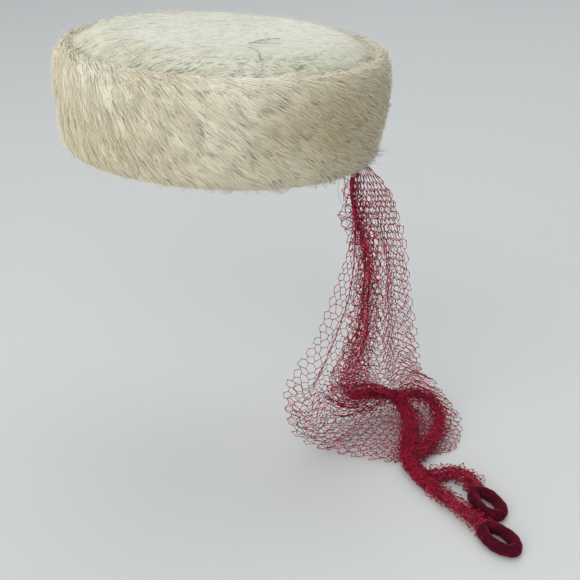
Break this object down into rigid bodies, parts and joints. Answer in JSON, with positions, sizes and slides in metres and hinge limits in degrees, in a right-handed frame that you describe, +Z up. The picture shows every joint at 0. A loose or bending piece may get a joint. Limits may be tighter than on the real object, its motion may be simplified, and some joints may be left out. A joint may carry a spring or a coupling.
{
  "type": "pillbox hat",
  "caption": "Pillbox hat of long-napped fur felt: a domed crown inside a thick rolled cuff, with a gathered net veil falling from the back to two velvet loops.",
  "frame": {"origin": "middle of the head opening, in the plane of the rim", "axes": "+Z up through the crown, -X towards the wearer's face, +X towards the back where the veil hangs"},
  "size_m": [0.3253, 0.2046, 0.3179],
  "materials": {
    "crown_felt": "long-napped ivory fur felt",
    "cuff_felt": "long-napped cream fur felt",
    "veil_net": "knotted crimson net",
    "velvet": "dark wine velvet, padded"
  },
  "bodies": {
    "root": {"crown": "crown_felt", "cuff": "cuff_felt", "veil": "veil_net", "velvet_loop_upper": "velvet", "velvet_loop_lower": "velvet"}
  },
  "joints": []
}
